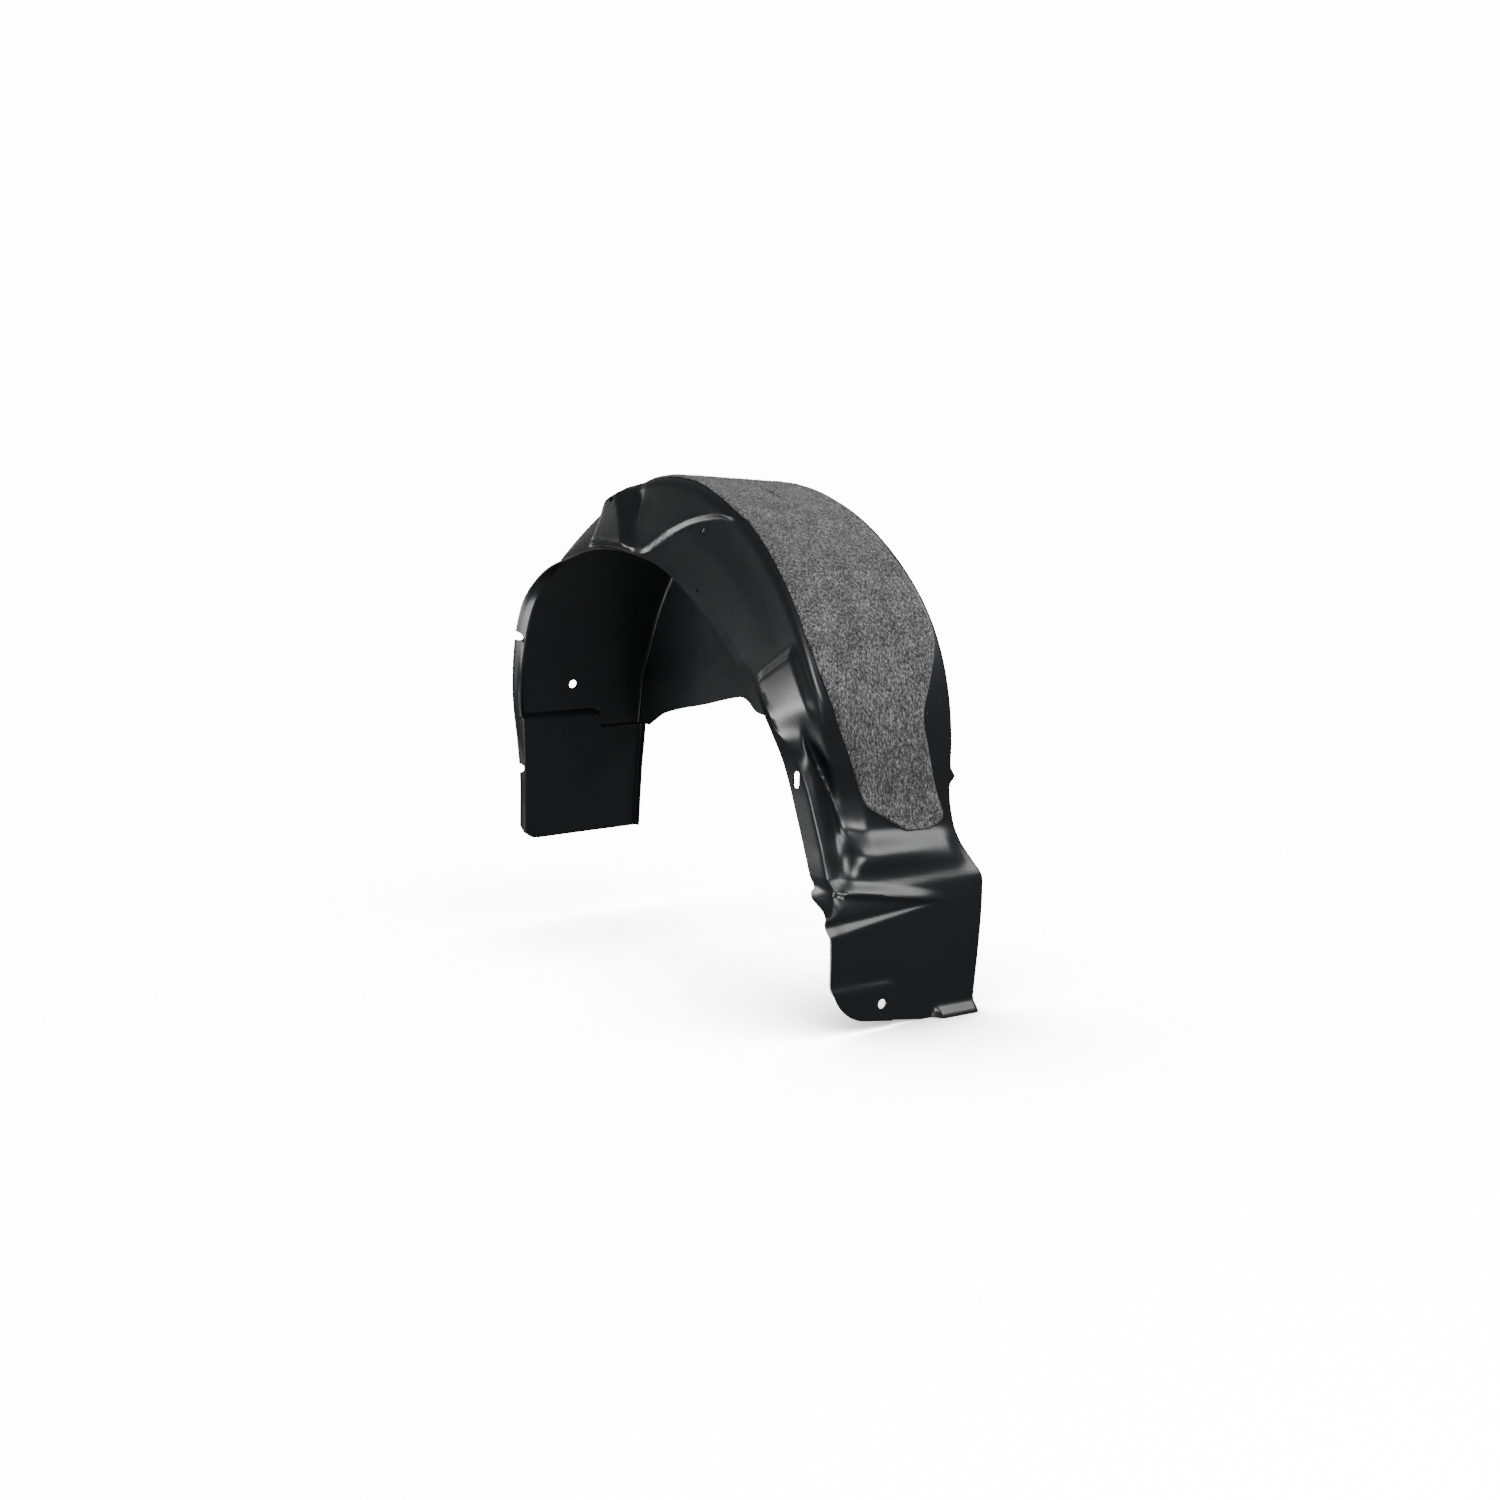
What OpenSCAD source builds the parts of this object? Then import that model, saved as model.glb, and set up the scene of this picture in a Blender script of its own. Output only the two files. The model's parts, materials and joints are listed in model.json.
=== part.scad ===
// Wheel arch liner: a formed plastic sheet that closes the upper part of a wheel housing,
// with a felt pad bonded to its outer face against road noise.
// X runs along the car, -Y is the outboard side with the fender lip, Z is up.
// Places on the sheet are given as [station, across, height]. The station is an angle round
// the arch, zero at the crown and positive towards the long near leg. Past 90 degrees each
// degree is the same length of upright leg. The height is measured outwards from arch_r.

/* [Arch] */
// Radius of the arch's panel
arch_r = 367; // [340:1:390]
// Width of the panel
panel_w = 210; // [190:1:230]
// Length of the near leg below the arch's centre
near_leg = 278; // [268:1:300]
// Length of the far leg below the arch's centre
far_leg = 155; // [145:1:180]
// Thickness of the plastic sheet
wall = 2.5; // [2:0.1:3]

/* [Side wall] */
// How far the lip's edge lies below the panel beside the crown
lip_drop = 127; // [115:1:135]
// How far the lip's edge stands out beside the far leg
lip_flare = 38; // [30:1:44]
// How far the shoulder rises above the panel at the crown
crown_rise = 16; // [8:1:20]
// How far the buttress under the crown's boss stands out
boss_out = 18; // [12:1:22]
// How far the dome beside the buttress stands out
dome_out = 8; // [4:1:10]
// How far the step above the near leg stands out
step_out = 9; // [5:1:12]

/* [Near leg] */
// Width of the flat fixing strip along the lip
strip_w = 25; // [20:1:28]
// Depth of the channel between the strip's ridge and the panel
channel_d = 20; // [12:1:24]
// How far the foot stands out from the leg
foot_out = 42; // [34:1:50]
// Depth of the wedge-shaped recess across the foot's top
wedge_d = 11; // [6:1:13]
// Height of the rim above the recess
rim_h = 5; // [3:1:7]
// How far the foot's fixing pad stands out
pad_h = 5; // [3:1:7]
// How far the foot is wider than the panel on each side
foot_extra = 15; // [10:1:18]
// How far the tab under the foot reaches out
tab_out = 14; // [10:1:20]
// Radius of the foot's outboard lower corner
foot_round = 48; // [20:1:50]
// How far the foot's lower edge rises towards the outboard side
foot_slant = 18; // [10:1:24]

/* [Far leg] */
// Height of the ledge across the far leg
ledge_h = 7; // [4:1:9]
// Depth of the dent above the ledge, round the hole
dent_d = 4; // [2:1:6]
// Radius of the far leg's outboard lower corner
far_round = 26; // [15:1:30]

/* [Inboard wall] */
// Height of the inboard wall's lower edge above the arch's centre
wall_edge = 46; // [30:1:60]
// Radius of the corner between the panel and the inboard wall
corner_r = 24; // [15:1:30]
// Depth of the return along the inboard edge of both legs
return_d = 12; // [9:1:14]

/* [Fixings] */
// Diameter of the holes in both legs
leg_hole_d = 12.5; // [8:0.5:14]
// Diameter of the hole in the crown's boss
boss_hole_d = 10; // [7:0.5:12]
// Diameter of the hole in the recess beside the dome
recess_hole_d = 8; // [5:0.5:10]
// Diameter of the small hole above the lip
lip_hole_d = 5; // [3:0.5:6]
// Width of the slot in the near leg's strip
slot_w = 9; // [7:0.5:11]
// Length of the slot
slot_l = 21; // [16:1:26]
// Radius of the two notches in the far leg's lip
notch_r = 6.5; // [4:0.5:8]

/* [Felt] */
// Thickness of the felt pad
felt_t = 3.5; // [2.5:0.5:5]
// Thickness of the glue under the felt
glue_t = 0.3; // [0.3:0.1:0.5]
// Width across the felt's waist on the near leg
felt_waist = 145; // [125:1:155]

/* [Colours] */
// Colour of the moulded sheet
shell_colour = "#232426"; // [#232426:black, #3a3c40:grey]
// Colour of the felt
felt_colour = "#6c6c6c"; // [#6c6c6c:grey, #44474a:dark grey]

/* [Hidden] */

half = panel_w / 2;
degree = PI * arch_r / 180;
near_end = 90 + near_leg / degree;
far_end = -90 - far_leg / degree;
foot_half = half + foot_extra;

// Places of the fixings, as [station, across] or [station, height]
foot_hole = [130, -45];
far_hole = [-79.6, -10];
boss_hole = [-20, 6];
recess_hole = [16, -40];
lip_hole = [22.6, -109];
strip_slot = [86.5, -54];
notches = [-97.7, -68.7];
pad_y = foot_hole[1] + 21;

// Smooth step from 0 at a to 1 at b
function smooth(a, b, x) = let (u = min(1, max(0, (x - a) / (b - a)))) u * u * (3 - 2 * u);

// One at c, falling smoothly to zero w away on either side
function hill(c, w, x) = 1 - smooth(0, w, abs(x - c));

// Curve through keys of [station, across, height], as [across, height] at station t
function key_value(keys, i) = [keys[i][1], keys[i][2]];
function key_slope(keys, i) =
    let (a = max(i - 1, 0), b = min(i + 1, len(keys) - 1))
    (key_value(keys, b) - key_value(keys, a)) / (keys[b][0] - keys[a][0]);
function key_index(keys, t, i = 0) =
    i >= len(keys) - 2 || t <= keys[i + 1][0] ? i : key_index(keys, t, i + 1);
function guide(keys, t) =
    let (i = key_index(keys, t), w = keys[i + 1][0] - keys[i][0])
    let (u = min(1, max(0, (t - keys[i][0]) / w)), v = 1 - u)
    key_value(keys, i) * (1 + 2 * u) * v * v + key_slope(keys, i) * w * u * v * v
    + key_value(keys, i + 1) * u * u * (3 - 2 * u) - key_slope(keys, i + 1) * w * u * u * v;

// Point in space of a place on the sheet
function place(t, y, h) =
    t > 90 ? [arch_r + h, y, (90 - t) * degree]
    : t < -90 ? [-arch_r - h, y, (90 + t) * degree]
    : [(arch_r + h) * sin(t), y, (arch_r + h) * cos(t)];

// Guide curves along the sheet, from the outboard lip to the inboard corner
lip = [
    [-114, -half, 5], [-100, -half, 3], [-90, -half, lip_flare - 26], [-80, -half, lip_flare - 11],
    [-62, -half, lip_flare], [-52, -half, lip_flare / 2], [-40, -half, -0.15 * lip_drop],
    [-28, -half, -0.37 * lip_drop], [-12, -half, -0.65 * lip_drop], [4, -half, -0.82 * lip_drop],
    [15, -half, -0.93 * lip_drop], [28, -half, -0.99 * lip_drop], [42, -half, -lip_drop],
    [52, -half, -0.97 * lip_drop], [60, -half, -0.83 * lip_drop], [68, -half, -0.8 * lip_drop],
    [75, -half, -0.72 * lip_drop], [82, -half, -75], [90, -half, -33 - strip_w],
    [99, -half, -10 - strip_w], [106, -half, 7 - strip_w], [109, -half, 13 - strip_w],
    [110.3, -half - 7, foot_out / 2], [112, -foot_half, foot_out], [134, -foot_half, foot_out]
];
ridge = [
    [-114, -half + 2, 4], [-100, -half + 2, 3], [-90, -half + 2, lip_flare - 27],
    [-80, -half + 2, lip_flare - 13], [-62, -half + 2, lip_flare - 3],
    [-52, -half + 3, lip_flare / 2 - 2], [-40, -half + 4, -0.13 * lip_drop],
    [-12, -half + 4, -0.59 * lip_drop], [28, -half + 2, -0.88 * lip_drop],
    [52, -half + 2, -0.88 * lip_drop], [60, -half + 2, -0.76 * lip_drop], [68, -half + 4, -97],
    [77, -half + 7, -80], [82, -half + 7, -58], [88, -half + 7, -38], [99, -half + 7, -9],
    [106, -half + 7, 7], [108.5, -half + 2, 26], [110.3, -half - 3, foot_out - 7],
    [112, -foot_half + 7, foot_out], [134, -foot_half + 7, foot_out]
];
brow = [
    [-114, -half + 4, 3], [-100, -half + 4, 2], [-90, -half + 4, lip_flare - 29],
    [-80, -half + 4, lip_flare - 16], [-62, -half + 5, lip_flare - 7],
    [-52, -half + 8, 16], [-40, -half + 13, -8], [-12, -half + 17, -40], [28, -half + 9, -60],
    [52, -half + 6, -58], [60, -half + 6, -50], [68, -half + 9, -45], [75, -half + 15, -42],
    [80, -half + 16, -49], [84, -half + 16, -46], [90, -half + 16, -31], [99, -half + 16, -7],
    [106, -half + 15, 10], [110, -half + 6, foot_out - 6],
    [112, -foot_half + 13, foot_out], [134, -foot_half + 13, foot_out]
];
valley = [
    [-114, -half + 6, 1], [-100, -half + 6, 1], [-90, -half + 6, lip_flare - 31],
    [-80, -half + 7, lip_flare - 20], [-62, -half + 8, lip_flare - 12],
    [-52, -half + 13, 15], [-40, -half + 21, 2], [-12, -half + 29, -12], [28, -half + 17, -26],
    [52, -half + 9, -28], [60, -half + 8, -24], [68, -half + 11, -24], [75, -half + 18, -33],
    [83, -half + 39, -24 - channel_d], [88, -half + 43, -22 - channel_d],
    [92, -half + 45, -16 - channel_d], [97.5, -half + 43, -4 - channel_d],
    [101, -half + 39, 14 - channel_d], [105, -half + 30, 7], [108, -half + 17, 26],
    [112, -foot_half + 23, foot_out], [134, -foot_half + 23, foot_out]
];
shoulder = [
    [-114, -half + 8, 0], [-100, -half + 8, 0], [-90, -half + 8, 4], [-80, -half + 9, 14],
    [-62, -half + 10, 22],
    [-50, -half + 17, 15], [-35, -half + 31, 13], [-20, -half + 39, crown_rise],
    [-7, -half + 39, crown_rise], [5, -half + 37, crown_rise - 4], [15, -half + 30, crown_rise / 2],
    [26, -half + 23, 5], [40, -half + 15, 3], [55, -half + 10, 1], [66, -half + 10, -1],
    [75, -half + 19, -4], [83, -half + 37, -14], [88, -half + 48, -20], [92, -half + 55, -20],
    [97, -half + 57, -13], [101, -half + 53, 8], [105, -half + 43, 15], [108, -half + 31, 28],
    [112, -foot_half + 35, foot_out], [134, -foot_half + 35, foot_out]
];
corner = [
    [-114, half - 2, 16], [-100, half, 9], [-90, half + 2, 2], [-70, half + 5, 2],
    [-20, half + 8, 1], [35, half + 8, 3], [55, half + 8, 7], [66, half + 7, 4],
    [80, half + 4, -4], [85.8, half + 2.5, -6], [88, half + 9, -6], [90, half + 1, -7],
    [97, half + 3, -2], [101, half + 7, 8],
    [104, half + 11, 25], [107.5, foot_half, foot_out], [134, half, foot_out]
];

// Features on the side wall, as how far it stands out towards the lip's side
dome_line = [[-40, 0, -120], [-8, 0, -89], [12, 0, -35], [20, 0, -14], [26, 0, 0], [34, 0, 30]];

function buttress(t, rise) =
    boss_out * (0.9 + 0.6 * rise * rise)
    * smooth(-33 + 6 * rise, -28 + 6 * rise, t) * smooth(-9 - 6 * rise, -13 - 6 * rise, t);

function dome(t, h) =
    let (line = guide(dome_line, t)[1])
    dome_out * smooth(line - 2, line + 5, h) * smooth(-15, -10, t) * smooth(31, 21, t);

function step(t, h) =
    step_out * smooth(58, 61.5, t) * smooth(78, 70, t) * smooth(-95, -85, h) * smooth(-8, -22, h);

function side_relief(t, y, h) =
    let (low = guide(lip, t)[1], rise = min(1, max(0, (h - low) / (crown_rise - low))))
    smooth(low, low + 14, h) * smooth(-half + 75, -half + 30, y)
    * (buttress(t, rise) + dome(t, h) + step(t, h));

// Features on the panel, as how far it stands out from the arch
function foot_top(y) = 106.3 + 4.3 * min(1, foot_share(y));
function foot_share(y) = (y + foot_half) / (1.5 * foot_half);

function wedge(t, y) =
    let (share = foot_share(y), top = foot_top(y), low = 115.2 - 4.7 * share)
    let (u = (t - top) / (low - top))
    share > 1 || u < 0 || u > 1 ? 0
    : -wedge_d * (1 - share) * (u < 0.7 ? u / 0.7 : smooth(1, 0.7, u));

function rim(t, y) =
    let (top = foot_top(y), reach = t < top ? 2.2 : 1.2)
    rim_h * hill(top, reach, t) * smooth(1.05, 0.75, foot_share(y));

function pad(t, y) = pad_h * smooth(123.9, 125.6, t) * smooth(pad_y, pad_y - 5, y);

function far_ledge(t, y) =
    let (left = smooth(38, 30, y), line = -86.2 * left - 89.8 * (1 - left))
    let (above = smooth(line - 0.3, line + 0.3, t), inside = smooth(-half + 5, -half + 14, y))
    above * inside * (ledge_h * smooth(-70, -80, t) + dent_d * left * smooth(-78, -86, t));

function tab(t, y) = tab_out * smooth(near_end - 2.6, near_end, t) * smooth(38, 46, y);

function panel_relief(t, y) =
    t > 95 ? wedge(t, y) + rim(t, y) + pad(t, y) + tab(t, y) : t < -60 ? far_ledge(t, y) : 0;

// Station of a place after the lower corners of both legs are rounded off
function round_off(y, edge, r) = let (s = min(0.97, max(0, (edge + r - y) / r))) 1 - sqrt(1 - s * s);
function foot_rise(y) =
    foot_round * round_off(y, -foot_half, foot_round) + foot_slant * max(0, 20 - y) / (20 + foot_half);
function trimmed(t, y) =
    t > 112 ? t - foot_rise(y) / degree * smooth(112, near_end, t)
    : t < -99 ? t + far_round / degree * round_off(y, -half, far_round) * smooth(-99, far_end, t)
    : t;

// Section across the sheet at one station
function bend(a, b, c, r) =
    let (ab = norm(b - a), bc = norm(c - b), d = min(r, 0.45 * ab, 0.45 * bc))
    [b + (a - b) * d / ab, b, b + (c - b) * d / bc];
function straight(p, q, n) = [for (k = [0 : n - 1]) p + (q - p) * k / n];
function arc(b, n) =
    [for (k = [0 : n - 1]) let (u = k / n)
        b[0] * (1 - u) * (1 - u) + 2 * b[1] * u * (1 - u) + b[2] * u * u];

function flat_section(t) =
    let (e = guide(lip, t), f = guide(ridge, t), g = guide(brow, t))
    let (v = guide(valley, t), s = guide(shoulder, t), k = guide(corner, t))
    let (bf = bend(e, f, g, 3), bg = bend(f, g, v, 5), bv = bend(g, v, s, 10), bs = bend(v, s, k, 14))
    concat(
        straight(e, bf[0], 2), arc(bf, 2), straight(bf[2], bg[0], 1), arc(bg, 2),
        straight(bg[2], bv[0], 1), arc(bv, 2), straight(bv[2], bs[0], 2), arc(bs, 3),
        straight(bs[2], k, 7), [k]
    );

function on_sheet(t, p) =
    let (u = trimmed(t, p[0]))
    place(u, p[0] - side_relief(t, p[0], p[1]), p[1] + panel_relief(u, p[0]));

// Lower edge of the inboard wall, as height above the arch's centre at x
edge_keys = [
    [-360, 0, 2], [-316, 0, wall_edge - 22], [-207, 0, wall_edge + 1], [-115, 0, wall_edge + 20],
    [-95, 0, wall_edge + 16], [-75, 0, wall_edge + 3], [-40, 0, wall_edge], [200, 0, wall_edge],
    [280, 0, wall_edge - 22], [330, 0, 2]
];

function wall_foot(t) =
    let (k = guide(corner, t), top = place(t, k[0], k[1]), low = guide(edge_keys, top[0])[1])
    let (inner = place(t, k[0] - 1, k[1] - return_d))
    [inner[0], inner[1], abs(t) < 90 ? min(inner[2], max(low, inner[2] - 400)) : inner[2]];

function section(t) =
    let (flat = flat_section(t), n = len(flat), last = flat[n - 1])
    let (top = on_sheet(t, last), before = on_sheet(t, flat[n - 2]), foot = wall_foot(t))
    let (b = bend(before, top, foot, corner_r))
    concat([for (k = [0 : n - 2]) on_sheet(t, flat[k])], arc(b, 3), straight(b[2], foot, 2), [foot]);

// Stations, closer together where the form changes quickly
spans = [
    [far_end, -99, 5], [-99, -91, 2], [-91, -85, 6], [-85, -70, 4], [-70, -40, 5], [-40, -30, 2],
    [-30, -8, 8], [-8, 55, 11], [55, 66, 4], [66, 88, 7], [88, 93, 3], [93, 98, 4], [98, 105.5, 5],
    [105.5, 112, 7], [112, 116, 3], [116, 123.5, 2], [123.5, 126, 2]
];
stations = concat(
    [for (s = spans) for (k = [0 : s[2] - 1]) s[0] + (s[1] - s[0]) * k / s[2]],
    [for (k = [0 : 5]) 126 + (near_end - 126) * (1 - (1 - k / 5) * (1 - k / 5))]
);

// Normal of a grid of points, pointing out of the arch
function grid_normal(grid, i, j) =
    let (n = len(grid), m = len(grid[0]))
    let (along = grid[min(i + 1, n - 1)][j] - grid[max(i - 1, 0)][j])
    let (across = grid[i][min(j + 1, m - 1)] - grid[i][max(j - 1, 0)])
    let (c = cross(along, across))
    c / norm(c);

function inside_of(grid, depth) =
    [for (i = [0 : len(grid) - 1])
        [for (j = [0 : len(grid[0]) - 1]) grid[i][j] - grid_normal(grid, i, j) * depth]];

// Closed sheet between two grids of points of the same size
module sheet(outer, inner) {
    n = len(outer);
    m = len(outer[0]);
    points = concat([for (row = outer) each row], [for (row = inner) each row]);
    function at(i, j, side) = side * n * m + i * m + j;
    function quad(a, b, c, d) = [[a, b, c], [a, c, d]];
    faces = concat(
        [for (i = [0 : n - 2]) for (j = [0 : m - 2])
            each quad(at(i, j, 0), at(i, j + 1, 0), at(i + 1, j + 1, 0), at(i + 1, j, 0))],
        [for (i = [0 : n - 2]) for (j = [0 : m - 2])
            each quad(at(i, j, 1), at(i + 1, j, 1), at(i + 1, j + 1, 1), at(i, j + 1, 1))],
        [for (i = [0 : n - 2]) each quad(at(i, 0, 0), at(i + 1, 0, 0), at(i + 1, 0, 1), at(i, 0, 1))],
        [for (i = [0 : n - 2])
            each quad(at(i, m - 1, 0), at(i, m - 1, 1), at(i + 1, m - 1, 1), at(i + 1, m - 1, 0))],
        [for (j = [0 : m - 2]) each quad(at(0, j, 0), at(0, j, 1), at(0, j + 1, 1), at(0, j + 1, 0))],
        [for (j = [0 : m - 2])
            each quad(at(n - 1, j, 0), at(n - 1, j + 1, 0), at(n - 1, j + 1, 1), at(n - 1, j, 1))]
    );
    polyhedron(points, faces, convexity = 12);
}

shell_outer = [for (t = stations) section(t)];
shell_inner = inside_of(shell_outer, wall);

// Frame: the liner stands on its foot, with the middle of its width and length at zero
corners = [for (row = concat(shell_outer, shell_inner)) each row];
function low(k) = min([for (p = corners) p[k]]);
function high(k) = max([for (p = corners) p[k]]);
frame_shift = [-(low(0) + high(0)) / 2, -(low(1) + high(1)) / 2, -low(2)];

// Seats of the fixings, as a point on the sheet and the direction square to it
function unit(v) = v / norm(v);
function height_at(t, y) = lookup(y, [for (p = flat_section(t)) [p[0], p[1]]]);
function across_at(t, h) = lookup(h, [for (p = flat_section(t)) if (p[0] < -half / 2) [p[1], p[0]]]);
function panel_point(t, y) = on_sheet(t, [y, height_at(t, y)]);
function side_point(t, h) = on_sheet(t, [across_at(t, h), h]);
function panel_seat(t, y) =
    let (along = panel_point(t + 1, y) - panel_point(t - 1, y))
    [panel_point(t, y), unit(cross(along, panel_point(t, y + 6) - panel_point(t, y - 6)))];
function side_seat(t, h) =
    let (along = side_point(t + 1, h) - side_point(t - 1, h))
    [side_point(t, h), unit(cross(along, side_point(t, h + 6) - side_point(t, h - 6)))];

foot_seat = panel_seat(foot_hole[0], foot_hole[1]);
far_seat = panel_seat(far_hole[0], far_hole[1]);
boss_seat = side_seat(boss_hole[0], boss_hole[1]);
recess_seat = side_seat(recess_hole[0], recess_hole[1]);
lip_seat = side_seat(lip_hole[0], lip_hole[1]);
function notch_seat(t) = [place(t, -half, guide(lip, t)[1]), unit(place(max(t, -90), 0, 0))];

// Round cutter square to the sheet
module drill(seat, d) {
    n = seat[1];
    translate(seat[0])
        rotate([0, acos(n[2]), atan2(n[1], n[0])])
            cylinder(h = 36, d = d, center = true);
}

// Cutter for the slot in the near leg's strip
module slot() {
    translate(place(strip_slot[0], -half, strip_slot[1]))
        rotate([90, 8, 0])
            union() {
                cube([slot_w, slot_l - slot_w, 36], center = true);
                for (s = [-1, 1])
                    translate([0, s * (slot_l - slot_w) / 2, 0])
                        cylinder(h = 36, d = slot_w, center = true);
            }
}

module liner_shell() {
    color(shell_colour)
        translate(frame_shift)
            difference() {
                sheet(shell_outer, shell_inner);
                drill(foot_seat, leg_hole_d);
                drill(far_seat, leg_hole_d);
                drill(boss_seat, boss_hole_d);
                drill(recess_seat, recess_hole_d);
                drill(lip_seat, lip_hole_d);
                drill(notch_seat(notches[0]), 2 * notch_r);
                drill(notch_seat(notches[1]), 2 * notch_r);
                slot();
            }
}

// Felt: its two edges across the panel, and its faces on the sheet
waist_y = -half + 24 + felt_waist;
felt_start = -45;
felt_end = 97.8;
felt_trim = [[88, 0, 0], [90, 3, 0], [92.6, 11, 0], [94.5, 36, 0], [96.7, 60, 0], [felt_end, 74, 0]];
felt_right = [
    [felt_start, half - 3, 0], [50, half - 3, 0], [61, half - 3, 0], [68, waist_y + 20, 0],
    [75.5, waist_y, 0], [82, waist_y + 5, 0], [88, waist_y + 13, 0], [92, waist_y + 20, 0],
    [95.4, waist_y + 26, 0], [96.9, waist_y + 20, 0], [felt_end, waist_y + 4, 0]
];
felt_columns = 8;

function felt_row(t) =
    let (left = guide(shoulder, t)[0] + 8 + guide(felt_trim, t)[0], right = guide(felt_right, t)[0])
    [for (k = [0 : felt_columns])
        let (y = left + (right - left) * k / felt_columns) panel_point(t, y)];

felt_stations =
    concat([felt_start], [for (t = stations) if (t > felt_start + 1 && t < felt_end - 0.3) t], [felt_end]);
felt_on_sheet = [for (t = felt_stations) felt_row(t)];

module felt_pad() {
    color(felt_colour)
        translate(frame_shift)
            sheet(inside_of(felt_on_sheet, -glue_t - felt_t), inside_of(felt_on_sheet, -glue_t));
}

liner_shell();
felt_pad();
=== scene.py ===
"""Wheel arch liner: a moulded sheet of black polyethylene with a needled felt pad.

Run as a script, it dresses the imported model. Each piece has its own operator, listed in the
3D view's sidebar. Lengths in the surface functions are millimetres from the arch's centre.
"""

import json
import math

import bpy
import bmesh
import numpy as np
from mathutils import Matrix, Vector


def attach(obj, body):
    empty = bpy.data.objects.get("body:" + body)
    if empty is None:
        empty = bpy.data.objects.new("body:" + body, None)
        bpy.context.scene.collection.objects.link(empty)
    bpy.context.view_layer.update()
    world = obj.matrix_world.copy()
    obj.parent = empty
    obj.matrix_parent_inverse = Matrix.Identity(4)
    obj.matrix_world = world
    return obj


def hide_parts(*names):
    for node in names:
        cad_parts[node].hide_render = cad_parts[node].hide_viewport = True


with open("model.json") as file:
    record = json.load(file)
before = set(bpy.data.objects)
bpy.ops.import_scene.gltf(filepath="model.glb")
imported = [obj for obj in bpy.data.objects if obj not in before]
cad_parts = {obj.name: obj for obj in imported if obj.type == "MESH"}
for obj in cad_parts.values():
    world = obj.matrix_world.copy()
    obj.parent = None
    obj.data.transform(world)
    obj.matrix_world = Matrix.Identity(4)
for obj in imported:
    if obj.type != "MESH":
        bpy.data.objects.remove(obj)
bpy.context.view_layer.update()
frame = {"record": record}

bl_info = {
    "name": "Wheel Arch Liner",
    "version": (1, 0, 0),
    "blender": (4, 5, 0),
    "location": "3D View > Sidebar > Arch Liner",
    "description": "Makes a moulded wheel arch liner with a felt pad",
    "category": "Add Mesh",
}

# The arch, in millimetres. A station is an angle from the crown in degrees, and goes on at the
# same pace down the straight legs.
ARCH_R = 367.0
HALF = 105.0
FOOT_HALF = 120.0
NEAR_LEG = 278.0
FAR_LEG = 155.0
DEGREE = math.pi * ARCH_R / 180
NEAR_END = 90 + NEAR_LEG / DEGREE
FAR_END = -90 - FAR_LEG / DEGREE

# Guide curves along the sheet: station, place across, height above the panel
LIP = [
    (-114, -105, 5), (-100, -105, 3), (-90, -105, 12), (-80, -105, 27), (-62, -105, 38),
    (-52, -105, 19), (-40, -105, -19), (-28, -105, -47), (-12, -105, -82), (4, -105, -104),
    (15, -105, -118), (28, -105, -126), (42, -105, -127), (52, -105, -123), (60, -105, -105),
    (68, -105, -102), (75, -105, -91), (82, -105, -75), (90, -105, -58), (99, -105, -35),
    (106, -105, -18), (109, -105, -12), (110.3, -112, 21), (112, -120, 42), (134, -120, 42),
]
RIDGE = [
    (-114, -103, 4), (-100, -103, 3), (-90, -103, 11), (-80, -103, 25), (-62, -103, 35),
    (-52, -102, 17), (-40, -101, -17), (-12, -101, -75), (28, -103, -112), (52, -103, -112),
    (60, -103, -97), (68, -101, -97), (77, -98, -80), (82, -98, -58), (88, -98, -38),
    (99, -98, -9), (106, -98, 7), (108.5, -103, 26), (110.3, -108, 35), (112, -113, 42),
    (134, -113, 42),
]
BROW = [
    (-114, -101, 3), (-100, -101, 2), (-90, -101, 9), (-80, -101, 22), (-62, -100, 31),
    (-52, -97, 16), (-40, -92, -8), (-12, -88, -40), (28, -96, -60), (52, -99, -58),
    (60, -99, -50), (68, -96, -45), (75, -90, -42), (80, -89, -49), (84, -89, -46),
    (90, -89, -31), (99, -89, -7), (106, -90, 10), (110, -99, 36), (112, -107, 42),
    (134, -107, 42),
]
VALLEY = [
    (-114, -99, 1), (-100, -99, 1), (-90, -99, 7), (-80, -98, 18), (-62, -97, 26), (-52, -92, 15),
    (-40, -84, 2), (-12, -76, -12), (28, -88, -26), (52, -96, -28), (60, -97, -24),
    (68, -94, -24), (75, -87, -33), (83, -66, -44), (88, -62, -42), (92, -60, -36),
    (97.5, -62, -24), (101, -66, -6), (105, -75, 7), (108, -88, 26), (112, -97, 42),
    (134, -97, 42),
]
SHOULDER = [
    (-114, -97, 0), (-100, -97, 0), (-90, -97, 4), (-80, -96, 14), (-62, -95, 22), (-50, -88, 15),
    (-35, -74, 13), (-20, -66, 16), (-7, -66, 16), (5, -68, 12), (15, -75, 8), (26, -82, 5),
    (40, -90, 3), (55, -95, 1), (66, -95, -1), (75, -86, -4), (83, -68, -14), (88, -57, -20),
    (92, -50, -20), (97, -48, -13), (101, -52, 8), (105, -62, 15), (108, -74, 28), (112, -85, 42),
    (134, -85, 42),
]
CORNER = [
    (-114, 103, 16), (-100, 105, 9), (-90, 107, 2), (-70, 110, 2), (-20, 113, 1), (35, 113, 3),
    (55, 113, 7), (66, 112, 4), (80, 109, -4), (85.8, 107.5, -6), (88, 114, -6), (90, 106, -7),
    (97, 108, -2), (101, 112, 8), (104, 116, 25), (107.5, 120, 42), (134, 105, 42),
]
DOME_LINE = [(-40, 0, -120), (-8, 0, -89), (12, 0, -35), (20, 0, -14), (26, 0, 0), (34, 0, 30)]
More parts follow.
